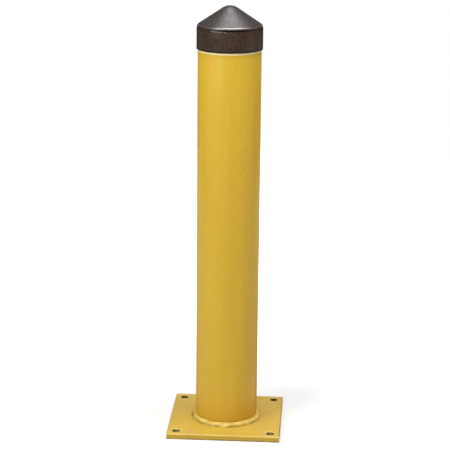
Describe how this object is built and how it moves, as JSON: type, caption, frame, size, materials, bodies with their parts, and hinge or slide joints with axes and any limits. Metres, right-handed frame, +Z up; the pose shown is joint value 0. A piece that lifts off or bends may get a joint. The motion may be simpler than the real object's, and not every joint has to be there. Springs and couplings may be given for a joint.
{
  "type": "safety bollard",
  "caption": "Floor-mounted steel pipe bollard, welded to a square anchor plate and closed by a conical push-on plastic cap.",
  "frame": {"origin": "centre of the base plate's underside, on the floor", "axes": "+Z up along the post's axis; X and Y along the base plate's sides"},
  "size_m": [0.254, 0.254, 0.9588],
  "materials": {
    "post_paint": "satin safety-yellow paint",
    "plate_paint": "satin safety-yellow paint",
    "weld_paint": "satin safety-yellow paint over a rippled bead",
    "cap_plastic": "dark brown, satin with a fine grain"
  },
  "bodies": {
    "root": {"post": "post_paint", "base_plate": "plate_paint", "foot_weld": "weld_paint", "cap": "cap_plastic"}
  },
  "joints": []
}
